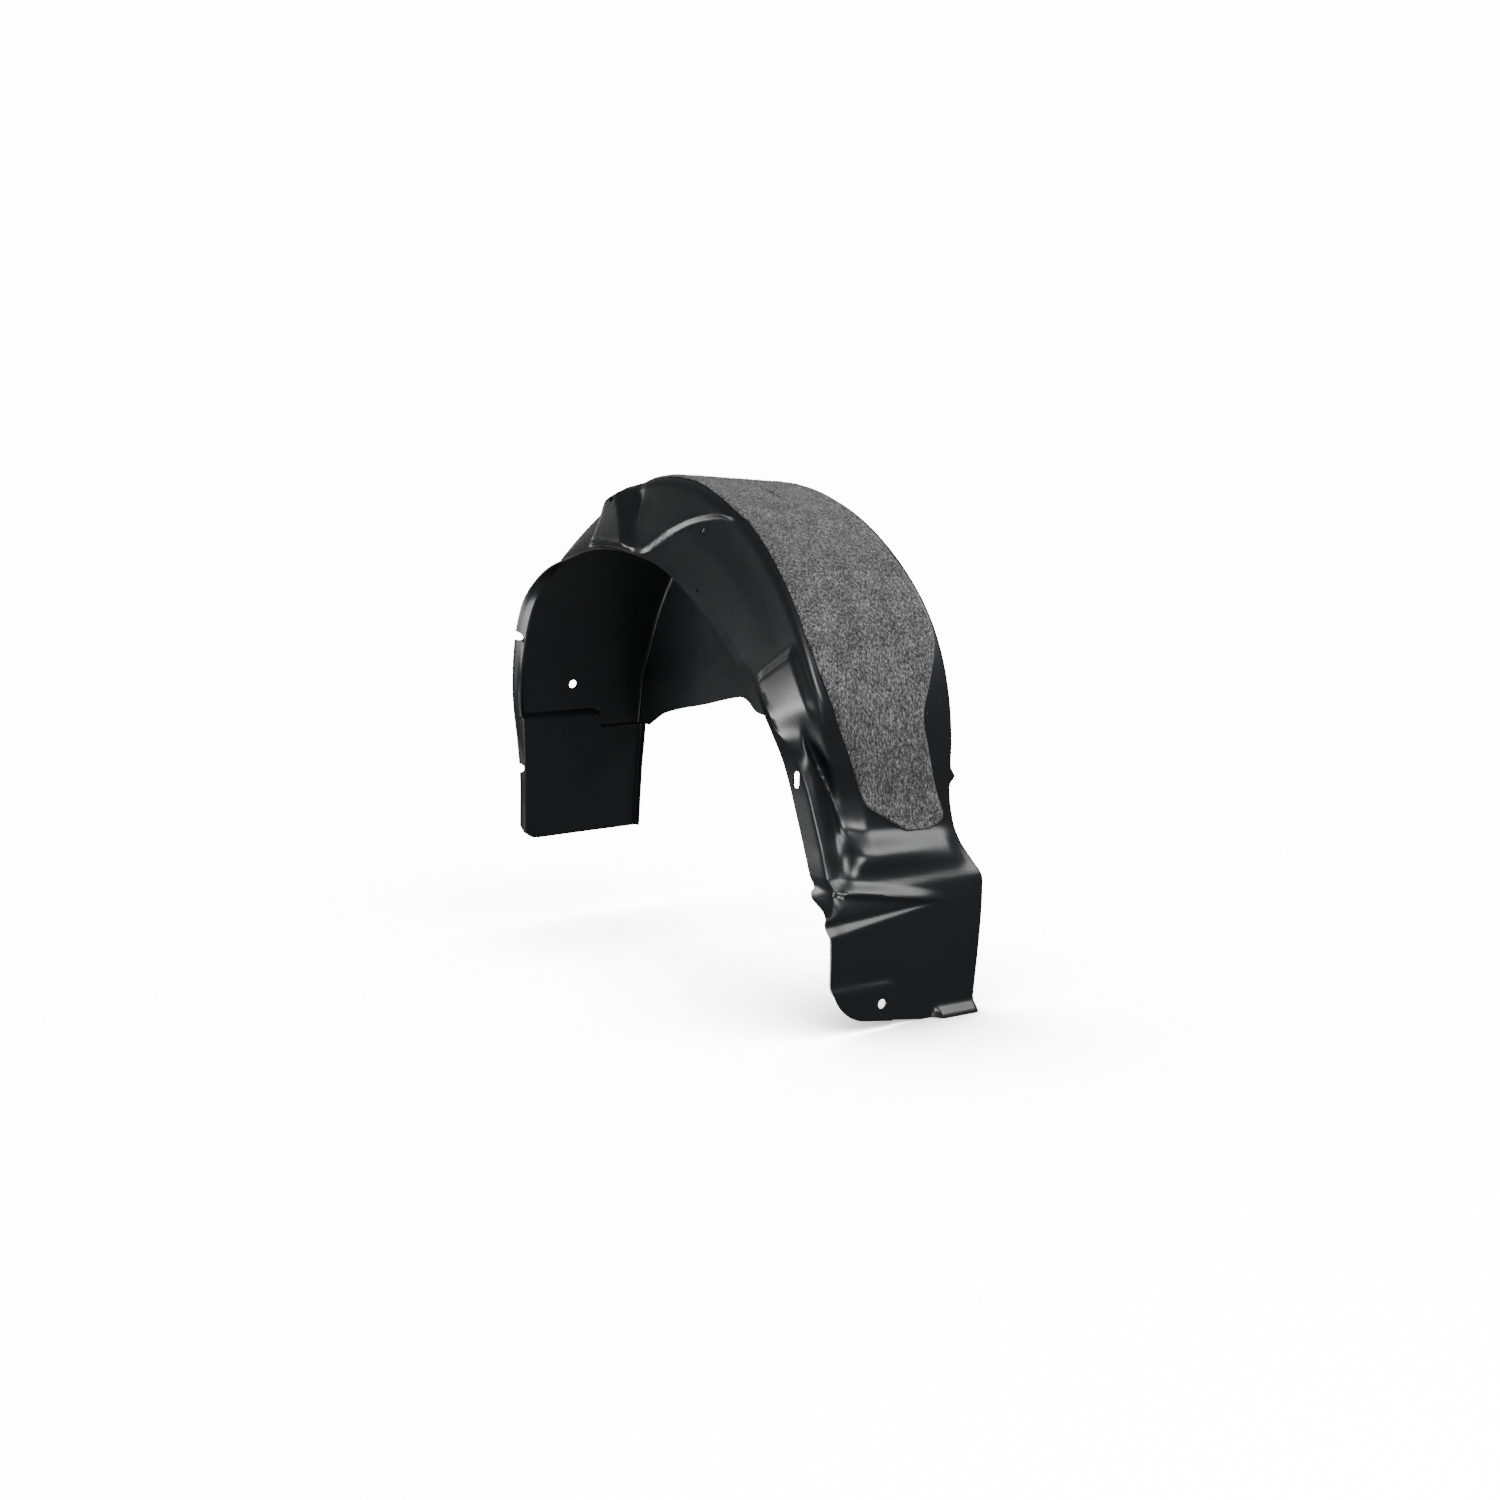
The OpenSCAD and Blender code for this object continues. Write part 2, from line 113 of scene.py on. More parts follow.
# Lower edge of the inboard wall: place along the car, nothing, height above the arch's centre
WALL_EDGE = [
    (-360, 0, 2), (-316, 0, 24), (-207, 0, 47), (-115, 0, 66), (-95, 0, 62), (-75, 0, 49),
    (-40, 0, 46), (200, 0, 46), (280, 0, 24), (330, 0, 2),
]
# The felt's right edge: station, place across, nothing
FELT_RIGHT = [
    (-45, 102, 0), (50, 102, 0), (61, 102, 0), (68, 84, 0), (75.5, 64, 0), (82, 69, 0),
    (88, 77, 0), (92, 84, 0), (95.4, 90, 0), (96.9, 84, 0), (97.8, 68, 0),
]
# The slit's middle line, in the same form
SLIT = [(8.5, 8.9, 0), (13.4, 12.9, 0), (19.8, 11.5, 0)]
# How far the felt's left edge draws in near its end, in the same form
FELT_TRIM = [
    (58, 0, 0), (66, 5, 0), (76, 11, 0), (84, 14, 0), (90, 16, 0), (92.6, 21, 0), (94.5, 38, 0),
    (96.7, 60, 0), (97.8, 74, 0),
]

# How far the felt's left edge lies in from the shoulder, and how uneven its face is
FELT_IN = 8
FELT_LUMPS = 0.12

# Features of the side wall: where they start, are full, begin to fall and end. Stations, but
# for the step's heights.
BUTTRESS = (-33, -28, -13, -9)
BUTTRESS_LEAN = 6
DOME = (-15, -10, 21, 31)
STEP = (58, 61.5, 70, 78)
STEP_HEIGHTS = (-95, -85, -22, -8)
SIDE_WALL_TOP = 16
LIP_FADE = 14
PANEL_FADE = (-30, -75)

# Features of the panel and the foot: the foot's upper fold, and the end of the recess below it,
# as stations at the foot's left edge and how much they rise or fall across it
FOOT_TOP, FOOT_TOP_TILT = 106.3, 4.3
FOOT_FOLD, FOOT_FOLD_REACH = 108.45, 9
RECESS_END, RECESS_TILT = 115.2, 4.7
RECESS_DEEPEST = 0.7
RIM_REACH = (2.2, 1.2)
RIM_END = (1.05, 0.75)
PAD_STATIONS, PAD_EDGE = (123.9, 125.6), (-24, -29)
TAB_REACH, TAB_EDGE = 2.6, (38, 46)
SWELL_AT, SWELL_REACH, SWELL_LEFT, SWELL_RIGHT = 101.5, 4.8, (-75, -25), (112, 80)
BANK_STATIONS, BANK_RIGHT, BANK_LEFT = (70, 80, 96, 101), (28, 2), (-14, -2)
FOOT_FROM = 95

# The far leg's ledge: its stations on both sides of a bend, the bend's places across, half the
# height of its face, and how the ledge and the dent above it fade
LEDGE_LEFT, LEDGE_RIGHT, LEDGE_BEND = -86.2, -89.8, (38, 30)
LEDGE_HALF = 0.3
LEDGE_EDGE, LEDGE_FADE, DENT_FADE = (-100, -91), (-70, -80), (-78, -86)
FAR_LEG_FROM = -60

# The lower ends of both legs: from which station they are trimmed, the rounding of their
# corners, and how much the foot's edge slants, from which place across
TRIM_NEAR, TRIM_FAR = 112, -99
FOOT_CORNER, FAR_CORNER = 48, 26
FOOT_SLANT, SLANT_FROM = 18, 20

# The return along the legs' inboard edges, the most that the inboard wall falls, and the
# rounding of the corner above them
RETURN_IN, RETURN_DOWN, WALL_DEPTH, INBOARD_ROUND = 1, 12, 400, 9.0

# Openings. Holes in the panel by station, place across and diameter, holes in the side wall by
# station, height and diameter, notches by station, and the slot by station and height. The
# strip's middle is STRIP_SLOT_IN in from the lip, and the slot leans by SLOT_LEAN degrees.
PANEL_HOLES = [(130, -45, 12.5), (-79.6, -10, 12.5)]
SIDE_HOLES = [(-20, 6, 10), (16, -40, 8), (22.6, -109, 5)]
NOTCHES, NOTCH_WIDTH = (-97.7, -68.7), 13
STRIP_SLOT, STRIP_SLOT_IN = (86.5, -54), 4.25
SLOT_WIDTH, SLOT_STRETCH, SLOT_LEAN = 9, 12, 8
HOLE_CUTTER, SLOT_CUTTER = 36, 30


# Curves and places

def smooth(a, b, x):
    """Smooth step from 0 at a to 1 at b"""
    u = np.clip((x - a) / (b - a), 0, 1)
    return u * u * (3 - 2 * u)


def hill(c, w, x):
    """One at c, falling smoothly to zero w away"""
    return 1 - smooth(0, w, np.abs(x - c))


def guide(keys, t):
    """Across and height of a guide curve at stations t"""
    k = np.array(keys, float)
    t = np.clip(t, k[0, 0], k[-1, 0])
    before, after = np.vstack([k[:1], k[:-1]]), np.vstack([k[1:], k[-1:]])
    slope = (after[:, 1:] - before[:, 1:]) / (after[:, :1] - before[:, :1])
    i = np.clip(np.searchsorted(k[:, 0], t, side="left") - 1, 0, len(k) - 2)
    w = (k[i + 1, 0] - k[i, 0])[..., None]
    u = (t - k[i, 0])[..., None] / w
    v = 1 - u
    return (k[i, 1:] * (1 + 2 * u) * v * v + slope[i] * w * u * v * v
            + k[i + 1, 1:] * u * u * (3 - 2 * u) - slope[i + 1] * w * u * u * v)


def place(t, y, h):
    """Point in space of a place on the sheet"""
    t, y, h = np.broadcast_arrays(np.asarray(t, float), y, h)
    a = np.radians(np.clip(t, -90, 90))
    drop = DEGREE * (np.maximum(t - 90, 0) + np.maximum(-90 - t, 0))
    return np.stack([(ARCH_R + h) * np.sin(a), y, (ARCH_R + h) * np.cos(a) - drop], -1)


# Features on the side wall and on the panel

def foot_share(y):
    """Place across the foot, from 0 at its left edge to 1 where its recess ends"""
    return (y + FOOT_HALF) / (1.5 * FOOT_HALF)


def foot_top(y):
    """Station of the foot's upper fold"""
    return FOOT_TOP + FOOT_TOP_TILT * np.minimum(1, foot_share(y))


def side_relief(sizes, t, y, h):
    """How far the side wall stands out towards the lip's side"""
    low = guide(LIP, t)[..., 1]
    rise = np.clip((h - low) / (SIDE_WALL_TOP - low), 0, 1)
    lean = BUTTRESS_LEAN * rise
    start, full, fall, end = BUTTRESS
    buttress = (sizes.boss_out * 1000 * (0.9 + 0.6 * rise * rise)
                * smooth(start + lean, full + lean, t) * smooth(end - lean, fall - lean, t))
    line = guide(DOME_LINE, t)[..., 1]
    start, full, fall, end = DOME
    dome = (sizes.dome_out * 1000 * smooth(line - 2, line + 5, h)
            * smooth(start, full, t) * smooth(end, fall, t))
    start, full, fall, end = STEP
    bottom, low_full, high_full, top = STEP_HEIGHTS
    step = (sizes.step_out * 1000 * smooth(start, full, t) * smooth(end, fall, t)
            * smooth(bottom, low_full, h) * smooth(top, high_full, h))
    return smooth(low, low + LIP_FADE, h) * smooth(*PANEL_FADE, y) * (buttress + dome + step)


def panel_relief(sizes, t, y):
    """How far the panel and the foot stand out from the arch"""
    share, top = foot_share(y), foot_top(y)
    u = (t - top) / (RECESS_END - RECESS_TILT * share - top)
    inside = (share < 1) & (u > 0) & (u < 1)
    depth = np.where(u < RECESS_DEEPEST, u / RECESS_DEEPEST, smooth(1, RECESS_DEEPEST, u))
    wedge = np.where(inside, -sizes.wedge_depth * 1000 * (1 - share) * depth, 0)
    reach = np.where(t < top, *RIM_REACH)
    rim = (sizes.rim_height * 1000 * (1 - smooth(0, 1, np.abs(t - top) / reach))
           * smooth(*RIM_END, share))
    pad = sizes.pad_height * 1000 * smooth(*PAD_STATIONS, t) * smooth(*PAD_EDGE, y)
    tab = sizes.tab_out * 1000 * smooth(NEAR_END - TAB_REACH, NEAR_END, t) * smooth(*TAB_EDGE, y)
    swell = (sizes.swell * 1000 * hill(SWELL_AT, SWELL_REACH, t)
             * smooth(*SWELL_LEFT, y) * smooth(*SWELL_RIGHT, y))
    foot = wedge + rim + pad + tab + swell

    left = smooth(*LEDGE_BEND, y)
    line = LEDGE_LEFT * left + LEDGE_RIGHT * (1 - left)
    ledge = (smooth(line - LEDGE_HALF, line + LEDGE_HALF, t) * smooth(*LEDGE_EDGE, y)
             * (sizes.ledge_height * 1000 * smooth(*LEDGE_FADE, t)
                + sizes.dent_depth * 1000 * left * smooth(*DENT_FADE, t)))

    edge = guide(SHOULDER, t)[..., 0]
    start, full, fall, end = BANK_STATIONS
    bank = (-sizes.bank * 1000 * smooth(edge + BANK_RIGHT[0], edge + BANK_RIGHT[1], y)
            * smooth(edge + BANK_LEFT[0], edge + BANK_LEFT[1], y)
            * smooth(start, full, t) * smooth(end, fall, t))
    return bank + np.where(t > FOOT_FROM, foot, np.where(t < FAR_LEG_FROM, ledge, 0))


def trimmed(t, y):
    """Station of a place after the lower corners of both legs are rounded off"""
    def round_off(edge, r):
        s = np.clip((edge + r - y) / r, 0, 0.97)
        return r / DEGREE * (1 - np.sqrt(1 - s * s))

    slant = FOOT_SLANT / DEGREE * np.maximum(0, SLANT_FROM - y) / (SLANT_FROM + FOOT_HALF)
    rise = round_off(-FOOT_HALF, FOOT_CORNER) + slant
    far_rise = round_off(-HALF, FAR_CORNER)
    return (t - np.where(t > TRIM_NEAR, rise * smooth(TRIM_NEAR, NEAR_END, t), 0)
            + np.where(t < TRIM_FAR, far_rise * smooth(TRIM_FAR, FAR_END, t), 0))


def on_sheet(sizes, t, y, h):
    """Point in space of a place on the sheet, with its features and its trimmed ends"""
    u = trimmed(t, y)
    return place(u, y - side_relief(sizes, t, y, h), h + panel_relief(sizes, u, y))


# The section across the sheet

def rounded_line(corners, radii, straights, arcs):
    """Points along lines through corners, rounded off, for many stations at once"""
    out, start = [], corners[0]
    for i in range(1, len(corners) - 1):
        a, b, c = corners[i - 1:i + 2]
        ab = np.linalg.norm(b - a, axis=-1, keepdims=True)
        bc = np.linalg.norm(c - b, axis=-1, keepdims=True)
        d = np.minimum(radii[i - 1], 0.45 * np.minimum(ab, bc))
        p, q = b + (a - b) * d / ab, b + (c - b) * d / bc
        out += [start + (p - start) * k / straights[i - 1] for k in range(straights[i - 1])]
        for k in range(arcs[i - 1]):
            u = k / arcs[i - 1]
            out.append(p * (1 - u) ** 2 + 2 * b * u * (1 - u) + q * u * u)
        start = q
    out += [start + (corners[-1] - start) * k / straights[-1] for k in range(straights[-1] + 1)]
    return np.stack(out, 1)


def flat_sections(t, straights=(5, 6, 7, 8, 46), arcs=(4, 5, 6, 9)):
    """Across and height of every column at stations t"""
    corners = [guide(g, t) for g in (LIP, RIDGE, BROW, VALLEY, SHOULDER, CORNER)]
    return rounded_line(corners, (3, 5, 10, 14), straights, arcs)


def wall_foot(t):
    """Lower edge of the inboard wall, or of the return along both legs"""
    k = guide(CORNER, t)
    top = place(t, k[..., 0], k[..., 1])
    foot = place(t, k[..., 0] - RETURN_IN, k[..., 1] - RETURN_DOWN)
    low = guide(WALL_EDGE, top[..., 0])[..., 1]
    z = foot[..., 2]
    wall = np.minimum(z, np.maximum(low, z - WALL_DEPTH))
    foot[..., 2] = np.where(np.abs(t) < 90, wall, z)
    return foot


def rows():
    """Stations of the fine sheet's rows, closer together where the form changes quickly"""
    spans = [
        (FAR_END, TRIM_FAR, 16), (TRIM_FAR, -91, 9), (-91, -85, 18), (-85, -70, 18),
        (-70, -40, 27), (-40, -8, 36), (-8, 40, 48), (40, 56, 14), (56, 64, 14), (64, 93, 34),
        (93, 106, 24), (106, FOOT_FOLD, 9), (FOOT_FOLD, 117, 26), (117, 123.5, 7),
        (123.5, 126, 10), (126, NEAR_END - 3, 7), (NEAR_END - 3, NEAR_END, 7),
    ]
    parts = [np.linspace(a, b, n, endpoint=False) for a, b, n in spans]
    return np.concatenate(parts + [[NEAR_END]])


def sheet_grid(sizes):
    """Points of the sheet's outer face, rows along the arch and columns from lip to inboard edge"""
    u = rows()
    table_t = np.arange(FAR_END - 0.2, NEAR_END + 0.3, 0.05)
    table = flat_sections(table_t)

    def sample(t, j):
        return np.stack([np.interp(t, table_t, table[:, j, k]) for k in (0, 1)], -1)

    grid = []
    for j in range(table.shape[1]):
        y = sample(u, j)[:, 0]
        t = u + (foot_top(y) - FOOT_FOLD) * hill(FOOT_FOLD, FOOT_FOLD_REACH, u)
        p = sample(t, j)
        grid.append(on_sheet(sizes, t, p[:, 0], p[:, 1]))
    # The inboard corner is rounded, and the wall falls from it to its lower edge
    top, foot = grid[-1], wall_foot(t)
    down = foot - top
    length = np.linalg.norm(down, axis=-1, keepdims=True)
    back = grid[-6] - top
    reach = np.minimum(INBOARD_ROUND, 0.45 * length)
    p = top + back / np.linalg.norm(back, axis=-1, keepdims=True) * reach
    q = top + down / length * reach
    arc = [p * (1 - s) ** 2 + 2 * top * s * (1 - s) + q * s * s for s in np.linspace(0, 1, 9)[:-1]]
    fall = [q + (foot - q) * s for s in np.linspace(0, 1, 33)]
    return np.stack(grid[:-3] + arc + fall, 1)


def normals(grid):
    """Normals of a grid of points, pointing out of the arch"""
    along, across = np.gradient(grid, axis=0), np.gradient(grid, axis=1)
    n = np.cross(along, across)
    return n / np.maximum(np.linalg.norm(n, axis=-1, keepdims=True), 1e-9)


# Meshes

def arch_centre():
    """The arch's centre in the model's frame, in millimetres, from the slot in the near leg"""
    slot = next(m for m in frame["record"]["mounts"] if m["name"] == "strip_slot")
    t, h = STRIP_SLOT
    return np.array(slot["pos_m"]) * 1000 - place(t, -HALF + STRIP_SLOT_IN, h)


def closed_sheet(name, outer, inner, centre):
    """Mesh object between two grids of points, in the model's frame and in metres"""
    n, m = outer.shape[:2]
    points = (np.concatenate([outer.reshape(-1, 3), inner.reshape(-1, 3)]) + centre) / 1000
    points[:, 2] = np.maximum(points[:, 2], 0)
    i, j = (a.ravel() for a in np.meshgrid(np.arange(n - 1), np.arange(m - 1), indexing="ij"))

    def at(i, j, side):
        return side * n * m + i * m + j

    faces = [
        np.stack([at(i, j, 0), at(i + 1, j, 0), at(i + 1, j + 1, 0), at(i, j + 1, 0)], 1),
        np.stack([at(i, j, 1), at(i, j + 1, 1), at(i + 1, j + 1, 1), at(i + 1, j, 1)], 1),
    ]
    k, z = np.arange(n - 1), np.zeros(n - 1, int)
    faces.append(np.stack([at(k, z, 0), at(k, z, 1), at(k + 1, z, 1), at(k + 1, z, 0)], 1))
    z = z + m - 1
    faces.append(np.stack([at(k, z, 0), at(k + 1, z, 0), at(k + 1, z, 1), at(k, z, 1)], 1))
    k, z = np.arange(m - 1), np.zeros(m - 1, int)
    faces.append(np.stack([at(z, k, 0), at(z, k + 1, 0), at(z, k + 1, 1), at(z, k, 1)], 1))
    z = z + n - 1
    faces.append(np.stack([at(z, k, 0), at(z, k, 1), at(z, k + 1, 1), at(z, k + 1, 0)], 1))
    faces = np.concatenate(faces)
    mesh = bpy.data.meshes.new(name)
    mesh.vertices.add(len(points))
    mesh.vertices.foreach_set("co", points.ravel())
    mesh.loops.add(faces.size)
    mesh.loops.foreach_set("vertex_index", faces.ravel())
    mesh.polygons.add(len(faces))
    mesh.polygons.foreach_set("loop_start", np.arange(0, faces.size, 4))
    mesh.update(calc_edges=True)
    mesh.validate()
    return link(name, mesh)


def link(name, mesh):
    """New object in the scene with a mesh"""
    piece = bpy.data.objects.new(name, mesh)
    bpy.context.scene.collection.objects.link(piece)
    return piece


def shade(piece, degrees):
    """Smooth shading, with edges sharper than the angle left sharp"""
    piece.data.shade_smooth()
    piece.data.set_sharp_from_angle(angle=math.radians(degrees))


def cylinder(bm, at, axis, radius, length, stretch=0.0, lean=0.0):
    """Adds a cutter to bm. A stretched one is a slot that leans in the side wall's plane"""
    turn = Vector(axis).to_track_quat("Z", "Y").to_matrix().to_4x4()
    made = bmesh.ops.create_cone(bm, cap_ends=True, segments=64, radius1=radius, radius2=radius,
                                 depth=length)
    for v in made["verts"]:
        if stretch:
            v.co.y += math.copysign(stretch / 2, v.co.y)
    move = Matrix.Translation(Vector(at)) @ turn @ Matrix.Rotation(lean, 4, "Z")
    bmesh.ops.transform(bm, matrix=move, verts=made["verts"])


def seat(sizes, t, y=None, h=None):
    """Point on the sheet's outer face, by station and place across or height, and the way out"""
    def point(t, y, h):
        flat = flat_sections(np.array([t]))[0]
        if h is None:
            h = np.interp(y, flat[:, 0], flat[:, 1])
        else:
            side = flat[flat[:, 0] < -HALF / 2]
            order = np.argsort(side[:, 1])
            y = np.interp(h, side[order, 1], side[order, 0])
        return on_sheet(sizes, np.array([t]), np.array([y]), np.array([h]))[0]

    turn, reach = 1, 6
    along = point(t + turn, y, h) - point(t - turn, y, h)
    if h is None:
        across = point(t, y + reach, None) - point(t, y - reach, None)
    else:
        across = point(t, None, h + reach) - point(t, None, h - reach)
    out = np.cross(along, across)
    return point(t, y, h), out / np.linalg.norm(out)


def cut_openings(piece, sizes, centre):
    """Cuts the fixing holes, the slot and the two notches"""
    bm = bmesh.new()

    def drill(point, axis, d, length, **slot):
        at = (point + centre) / 1000
        cylinder(bm, at, axis, d / 2000, length / 1000, **slot)

    for t, y, d in PANEL_HOLES:
        drill(*seat(sizes, t, y=y), d, HOLE_CUTTER)
    for t, h, d in SIDE_HOLES:
        drill(*seat(sizes, t, h=h), d, HOLE_CUTTER)
    for t in NOTCHES:
        edge = place(t, -HALF, guide(LIP, np.array([t]))[0, 1])
        drill(edge, tuple(place(max(t, -90), 0, 0)), NOTCH_WIDTH, HOLE_CUTTER)
    t, h = STRIP_SLOT
    drill(place(t, -HALF, h), (0, -1, 0), SLOT_WIDTH, SLOT_CUTTER, stretch=SLOT_STRETCH / 1000,
          lean=math.radians(SLOT_LEAN))
    cut_away(piece, bm)


def cut_slit(piece, sizes, width, centre):
    """Cuts the short slit in the felt beside the crown, widest in its middle"""
    bm = bmesh.new()
    count, below, above = 15, -2, 8
    stations = np.linspace(SLIT[0][0], SLIT[-1][0], count)
    middle = [seat(sizes, t, y=guide(SLIT, np.array([t]))[0, 0]) for t in stations]
    along = np.gradient(np.array([point for point, out in middle]), axis=0)
    rings = []
    for k, (point, out) in enumerate(middle):
        side = np.cross(out, along[k])
        share = (k + 0.4) / (count - 0.2)
        side *= width * 500 * math.sin(math.pi * share) / np.linalg.norm(side)
        rings.append([bm.verts.new((point + centre + side * s + out * h) / 1000)
                      for s, h in ((-1, below), (1, below), (1, above), (-1, above))])
    for a, b in zip(rings, rings[1:]):
        for c in range(4):
            bm.faces.new((a[c], a[c - 1], b[c - 1], b[c]))
    bm.faces.new(rings[0])
    bm.faces.new(rings[-1])
    bmesh.ops.recalc_face_normals(bm, faces=bm.faces)
    cut_away(piece, bm)


def cut_away(piece, bm):
    """Takes the solids of bm out of a piece"""
    tools = link("cutters", bpy.data.meshes.new("cutters"))
    bm.to_mesh(tools.data)
    bm.free()
    cut = piece.modifiers.new("openings", "BOOLEAN")
    cut.operation = "DIFFERENCE"
    cut.solver = "MANIFOLD"
    cut.object = tools
    bake(piece)
    bpy.data.objects.remove(tools)


def bake(piece):
    """Turns a piece with its modifiers into a plain mesh"""
    graph = bpy.context.evaluated_depsgraph_get()
    graph.update()
    mesh = bpy.data.meshes.new_from_object(piece.evaluated_get(graph), depsgraph=graph)
    mesh.name = piece.name
    piece.modifiers.clear()
    piece.data = mesh


# Materials

def colour(hex_value):
    """Linear colour from an sRGB hex value"""
    parts = [int(hex_value[k:k + 2], 16) / 255 for k in (1, 3, 5)]
    linear = [c / 12.92 if c <= 0.04045 else ((c + 0.055) / 1.055) ** 2.4 for c in parts]
    return (*linear, 1.0)


def add(tree, kind, inputs=None, stops=(), **settings):
    """Adds a node with its settings, input values and links, and a colour ramp's stops"""
    made = tree.nodes.new(kind)
    for name, value in settings.items():
        setattr(made, name, value)
    for key, value in (inputs or {}).items():
        if isinstance(value, bpy.types.NodeSocket):
            tree.links.new(value, made.inputs[key])
        else:
            made.inputs[key].default_value = value
    points = made.color_ramp.elements if stops else ()
    while len(points) < len(stops):
        points.new(0.5)
    for point, (position, value) in zip(points, stops):
        point.position = position
        point.color = value if isinstance(value, tuple) else (value, value, value, 1)
    return made


def new_material(name):
    """Empty material and its node tree"""
    made = bpy.data.materials.new(name)
    made.use_nodes = True
    made.node_tree.nodes.clear()
    return made, made.node_tree


def moulded_polyethylene(finishes):
    """Black polyethylene sheet, vacuum formed: satin skin, faint grain, a few specks of dust"""
    made, tree = new_material("moulded_polyethylene")
    where = add(tree, "ShaderNodeTexCoord").outputs["Object"]
    grain = add(tree, "ShaderNodeTexNoise", {
        "Vector": where, "Scale": 1 / 0.0012, "Detail": 3.0}).outputs[0]
    waves = add(tree, "ShaderNodeTexNoise", {
        "Vector": where, "Scale": 1 / 0.045, "Detail": 2.0}).outputs[0]
    smears = add(tree, "ShaderNodeTexNoise", {
        "Vector": where, "Scale": 1 / 0.09, "Detail": 5.0, "Roughness": 0.65}).outputs[0]
    specks = add(tree, "ShaderNodeTexVoronoi", {
        "Vector": where, "Scale": 1 / 0.016, "Randomness": 1.0})
    dot = add(tree, "ShaderNodeValToRGB", {0: specks.outputs["Distance"]},
              [(0.0, 1.0), (0.045, 1.0), (0.06, 0.0)]).outputs[0]
    chance = add(tree, "ShaderNodeSeparateColor", {0: specks.outputs["Color"]}).outputs[0]
    some = add(tree, "ShaderNodeValToRGB", {0: chance},
               [(0.0, 0.0), (0.86, 0.0), (0.88, 1.0)]).outputs[0]
    dust = add(tree, "ShaderNodeMath", {0: dot, 1: some}, operation="MULTIPLY").outputs[0]
    base = add(tree, "ShaderNodeMix", {
        0: dust, 6: colour(finishes.plastic), 7: colour(finishes.dust)},
        data_type="RGBA").outputs[2]
    rough = add(tree, "ShaderNodeMapRange", {
        0: smears, 1: 0.3, 2: 0.7, 3: finishes.gloss_low, 4: finishes.gloss_high}).outputs[0]
    fine = add(tree, "ShaderNodeBump", {"Height": grain, "Strength": 0.12, "Distance": 0.0003})
    broad = add(tree, "ShaderNodeBump", {
        "Height": waves, "Strength": 0.2, "Distance": 0.0015, "Normal": fine.outputs[0]})
    shader = add(tree, "ShaderNodeBsdfPrincipled", {
        "Base Color": base, "Roughness": rough, "IOR": 1.5, "Normal": broad.outputs[0]})
    add(tree, "ShaderNodeOutputMaterial", {"Surface": shader.outputs[0]})
    return made


def needled_felt(finishes):
    """Grey needled polyester felt: light and dark fibres pressed flat, no gloss, soft sheen"""
    made, tree = new_material("needled_felt")
    where = add(tree, "ShaderNodeTexCoord").outputs["Object"]
    # Tufts are about 2 mm in the real felt, drawn at 3 mm so that they show
    tufts = add(tree, "ShaderNodeTexNoise", {
        "Vector": where, "Scale": 1 / 0.003, "Detail": 3.0, "Roughness": 0.7}).outputs[0]
    bent = add(tree, "ShaderNodeTexNoise", {
        "Vector": where, "Scale": 1 / 0.012, "Detail": 1.0}).outputs[1]
    moved = add(tree, "ShaderNodeMix", {0: 0.004, 4: where, 5: bent}, data_type="VECTOR").outputs[1]
    stretched = add(tree, "ShaderNodeMapping", {0: moved, 3: (1.0, 1.0, 0.35)}).outputs[0]
    strands = add(tree, "ShaderNodeTexNoise", {
        "Vector": stretched, "Scale": 1 / 0.0022, "Detail": 2.0}).outputs[0]
    mottle = add(tree, "ShaderNodeTexNoise", {
        "Vector": where, "Scale": 1 / 0.028, "Detail": 4.0}).outputs[0]
    both = add(tree, "ShaderNodeMath", {0: tufts, 1: strands}, operation="ADD").outputs[0]
    speckle = add(tree, "ShaderNodeMapRange", {
        0: both, 1: 0.72, 2: 1.28, 3: 0.0, 4: 1.0}).outputs[0]
    clouds = add(tree, "ShaderNodeMapRange", {
        0: mottle, 1: 0.3, 2: 0.7, 3: -0.12, 4: 0.12}).outputs[0]
    level = add(tree, "ShaderNodeMath", {0: speckle, 1: clouds}, operation="ADD").outputs[0]
    base = add(tree, "ShaderNodeValToRGB", {0: level}, [
        (0.0, colour(finishes.felt_dark)), (0.5, colour(finishes.felt_mid)),
        (1.0, colour(finishes.felt_light))]).outputs[0]
    bump = add(tree, "ShaderNodeBump", {"Height": speckle, "Strength": 0.6, "Distance": 0.0012})
    shader = add(tree, "ShaderNodeBsdfPrincipled", {
        "Base Color": base, "Roughness": 0.95, "IOR": 1.5, "Specular IOR Level": 0.2,
        "Sheen Weight": 0.15, "Sheen Roughness": 0.5, "Normal": bump.outputs[0]})
    add(tree, "ShaderNodeOutputMaterial", {"Surface": shader.outputs[0]})
    return made


def felt_fibre(finishes):
    """Loose polyester fibres standing off the felt, dark to light grey"""
    made, tree = new_material("felt_fibre")
    where = add(tree, "ShaderNodeTexCoord").outputs["Object"]
    patches = add(tree, "ShaderNodeTexNoise", {
        "Vector": where, "Scale": 1 / 0.004, "Detail": 1.0}).outputs[0]
    base = add(tree, "ShaderNodeValToRGB", {0: patches}, [
        (0.38, colour(finishes.felt_dark)), (0.62, colour(finishes.felt_light))]).outputs[0]
    shader = add(tree, "ShaderNodeBsdfPrincipled", {
        "Base Color": base, "Roughness": 0.9, "IOR": 1.5, "Sheen Weight": 0.2})
    add(tree, "ShaderNodeOutputMaterial", {"Surface": shader.outputs[0]})
    return made


